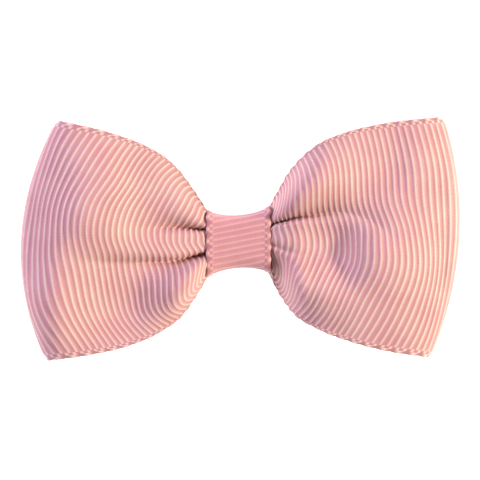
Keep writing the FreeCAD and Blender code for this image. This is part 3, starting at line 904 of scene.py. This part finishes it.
# The two crest colours are painted highlights for the rib crests; the groove colour is the rose of the dye,
# deepened as painted shade in the grooves; the edge colour is the selvedge's own rose.
CREST_HIGHLIGHT, GROOVE, EDGE = tone(242, 221, 202), tone(200, 135, 141), tone(188, 126, 132)
WRAP_CREST_HIGHLIGHT = tone(232, 186, 176)
ribbons = [
    (bow, "bow_grosgrain", BOW_WIDTH, CREST_HIGHLIGHT, 0.75, 0.03 * MM),
    (wrap, "wrap_grosgrain", WRAP_WIDTH / MM, WRAP_CREST_HIGHLIGHT, 0.6, 0.03 * MM),
    (lining, "lining_grosgrain", LINING_WIDTH / MM, CREST_HIGHLIGHT, 0.7, 0.02 * MM),
]
for piece, name, width, crest, contrast, warp_bump in ribbons:
    piece.data.materials.append(grosgrain(name, width, crest, GROOVE, EDGE, contrast, warp_bump))
    print(name, "for", round(width, 2), "mm of ribbon")

# %% [markdown]
# ## Steel, thread and glue
# The clip is stamped spring steel with a thin bright nickel plate: a metal with faint lengthwise
# brushing, small dull patches from handling and hardly any colour. The pin and the wire are plain
# steel. One even grey would look like plastic, so a noise that is drawn out along the clip changes
# how rough the metal is from place to place. The thread is twisted cotton, which a slanting wave
# gives without modelling its strands, and the glue is cloudy and smooth.

# %% Metal finishes
def plated(name, colour, roughness, brushing):
    """Steel with fine brushing along the clip and dull patches a few millimetres wide."""
    metal = Finish(name)
    drawn_out = metal.node("ShaderNodeMapping", None, {"Vector": metal.place(), "Scale": (0.12, 1.0, 1.0)})
    lines = metal.noise(0.12 * MM, 2.0, at=drawn_out)
    patches = metal.noise(3 * MM, 4.0, 0.6)
    worn = patches.ramp(0.52, 0.72)
    dull = (*(0.72 * part for part in colour[:3]), 1.0)
    return metal.surface(
        Base_Color=metal.mix(worn * 0.5, colour, dull), Metallic=1.0,
        Roughness=roughness + worn * 0.14 + (lines - 0.5) * 0.12,
        Normal=metal.bump(lines, brushing),
    )


NICKEL = (0.70, 0.68, 0.64, 1.0)
PIN_STEEL = (0.58, 0.57, 0.55, 1.0)
WIRE_STEEL = (0.50, 0.49, 0.47, 1.0)
finishes = {
    "clip_top_arm": plated("nickel_plate", NICKEL, 0.26, 0.008 * MM),
    "clip_prong": plated("nickel_plate_lower", NICKEL, 0.28, 0.008 * MM),
    "clip_pin": plated("pin_steel_finish", PIN_STEEL, 0.32, 0.006 * MM),
}
spring.data.materials.append(plated("spring_wire_finish", WIRE_STEEL, 0.35, 0.006 * MM))
print("metals:", len(finishes) + 1)

# %% Thread and glue
def thread_finish():
    cotton = Finish("cotton_thread")
    place = cotton.place()
    twist = cotton.node("ShaderNodeTexWave", {"bands_direction": "DIAGONAL"},
                        {"Vector": place, "Scale": 900.0, "Distortion": 1.5})
    fuzz = cotton.noise(0.08 * MM, 2.0, at=place)
    # The twist paints the thread darker where its bump sinks and lighter where it rises: painted shade in
    # the grooves between the strands and a painted highlight on them.
    dye_and_painted_shading = cotton.mix(twist * 0.6 + fuzz * 0.3, tone(176, 104, 112), tone(228, 168, 164))
    return cotton.surface(Base_Color=dye_and_painted_shading, Roughness=0.8, Sheen_Weight=0.3,
                          Normal=cotton.bump(twist + fuzz * 0.4, 0.04 * MM))


def glue_finish():
    glue = Finish("clear_glue")
    cloud = glue.noise(1.2 * MM, 3.0)
    return glue.surface(Base_Color=glue.mix(cloud, tone(226, 220, 205), tone(244, 240, 228)),
                        Roughness=0.22 + cloud * 0.12, Coat_Weight=0.4,
                        Normal=glue.bump(cloud, 0.08 * MM))


finishes["gather_thread"] = finishes["thread_knot"] = thread_finish()
finishes["bow_glue"] = finishes["wrap_glue"] = glue_finish()
for node, finish in finishes.items():
    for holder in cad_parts[node].material_slots:
        holder.material = finish
print("finishes:", len(bpy.data.materials))

# %% [markdown]
# ## Floor, light and camera
# The bow lies on a white sheet and is seen from straight above through a long lens, so nothing is
# stretched. A warm lamp at the right picks out every rib, and a cooler, mauve one at the left fills
# the folds. The sheet glows a little, as white paper does under strong light.

# %% White floor
FLOOR = 1.5
floor_mesh = bpy.data.meshes.new("floor")
corners = [(-FLOOR, -FLOOR, 0), (FLOOR, -FLOOR, 0), (FLOOR, FLOOR, 0), (-FLOOR, FLOOR, 0)]
floor_mesh.from_pydata(corners, [], [(0, 1, 2, 3)])
floor = put("floor", floor_mesh)
paper = Finish("white_paper")
fibre = paper.noise(2 * MM, 3.0)
floor_mesh.materials.append(paper.surface(
    Base_Color=paper.mix(fibre, tone(244, 243, 242), tone(248, 247, 246)), Roughness=0.9,
    Emission_Color=(1.0, 1.0, 1.0, 1.0), Emission_Strength=0.9))
print("floor", 2 * FLOOR, "m wide")

# %% Lamps
def lamp(name, place, size, power, colour):
    """A round lamp that looks at the bow. Sizes in metres, power in watts."""
    light = bpy.data.lights.new(name, "AREA")
    light.shape, light.size, light.energy, light.color = "DISK", size, power, colour
    holder = put(name, light)
    holder.location = place
    aim = -holder.location
    holder.rotation_euler = aim.to_track_quat("-Z", "Y").to_euler()


lamp("warm_key", (0.48, 0.01, 0.29), 0.10, 3.5, (1.0, 0.84, 0.67))
lamp("cool_fill", (-0.42, 0.24, 0.28), 0.30, 2.2, (0.84, 0.67, 1.0))
world = bpy.data.worlds.new("studio")
bpy.context.scene.world = world
world.use_nodes = True
sky = world.node_tree.nodes["Background"]
sky.inputs["Color"].default_value = (0.96, 0.90, 1.0, 1.0)
sky.inputs["Strength"].default_value = 0.38
bpy.context.scene.view_settings.view_transform = "Standard"
print("lamps:", len(bpy.data.lights))

# %% Camera
FRAME_WIDTH = 74.7 * MM
FRAME_CENTRE = (-0.08 * MM, -0.16 * MM)
BOW_HEIGHT = 13 * MM
DISTANCE = 0.5
lens = bpy.data.cameras.new("camera")
lens.lens = lens.sensor_width * DISTANCE / FRAME_WIDTH
camera = put("camera", lens)
camera.location = (*FRAME_CENTRE, BOW_HEIGHT + DISTANCE)
bpy.context.scene.camera = camera
print("lens", round(lens.lens), "mm")

# %% [markdown] ## Sizes Cloth stands a little further out than the solid that it replaces.
